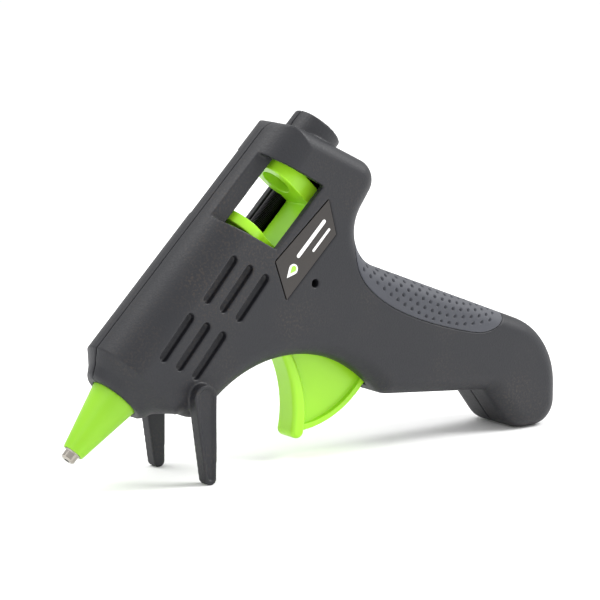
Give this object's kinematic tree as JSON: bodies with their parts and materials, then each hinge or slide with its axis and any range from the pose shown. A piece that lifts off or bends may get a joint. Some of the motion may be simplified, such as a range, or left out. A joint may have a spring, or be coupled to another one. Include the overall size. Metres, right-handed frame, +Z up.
{
  "type": "hot-melt glue gun",
  "caption": "Corded hand-held hot-melt glue gun with a trigger feed, stand legs, a see-through feed window and a dimpled grip pad.",
  "frame": {"origin": "middle of the bounding box in plan, at the level of the surface the gun stands on", "axes": "+X from the nozzle to the handle, +Y to the right side as the user holds it, +Z up"},
  "size_m": [0.1583, 0.0286, 0.0951],
  "materials": {
    "textured_abs": "charcoal moulded ABS with a fine spark texture",
    "grip_elastomer": "soft over-moulded elastomer with rows of small dimples",
    "label_film": "satin dark label film",
    "nickel_plated_brass": "turned and nickel plated",
    "green_silicone": "satin moulded silicone",
    "green_nylon": "satin to gloss moulded nylon",
    "die_cast_aluminium": "die cast",
    "grey_silicone": "moulded silicone",
    "spring_steel": "oiled spring steel",
    "steel_pin": "ground steel",
    "screw_steel": "zinc plated, dark passivated",
    "polyimide_film": "amber insulating film",
    "contact_brass": "stamped sheet",
    "ptc_ceramic": "fired heater ceramic",
    "lead_insulation": "braided sleeve over silicone",
    "crimp_nylon": "closed-end crimp",
    "bush_pvc": "moulded PVC"
  },
  "bodies": {
    "housing": {"left_shell": "textured_abs", "right_shell": "textured_abs", "grip_pad": "grip_elastomer", "label_plate": "label_film", "rating_plate": "label_film", "nozzle_tip": "nickel_plated_brass", "nozzle_sleeve": "green_silicone", "melt_chamber": "die_cast_aluminium", "chamber_gasket": "grey_silicone", "inlet_sleeve": "grey_silicone", "sleeve_clamp": "spring_steel", "heater_insulation": "polyimide_film", "electrode_upper": "contact_brass", "electrode_lower": "contact_brass", "ptc_heater": "ptc_ceramic", "heater_clip": "spring_steel", "lead_live": "lead_insulation", "lead_neutral": "lead_insulation", "crimp_connectors": "crimp_nylon", "cord_bush": "bush_pvc", "trigger_pin": "steel_pin", "return_spring": "spring_steel", "housing_screws": "screw_steel"},
    "trigger": {"trigger": "green_nylon"},
    "carriage": {"carriage": "green_nylon"}
  },
  "joints": [
    {"name": "trigger_pull", "type": "hinge", "parent": "housing", "child": "trigger", "pos_m": [-0.00805, 0, 0.0375], "axis": [0, -1, 0], "range_deg": [0, 20], "stiffness_Nm_per_rad": 0.12, "springref_deg": -11.46},
    {"name": "carriage_feed", "type": "slide", "parent": "housing", "child": "carriage", "axis": [-0.7009, 0, -0.7133], "range_m": [0, 0.0064], "deforming": ["return_spring"]}
  ],
  "couplings": [
    {"joint": "carriage_feed", "follows": "trigger_pull", "m_per_rad": 0.01803}
  ]
}
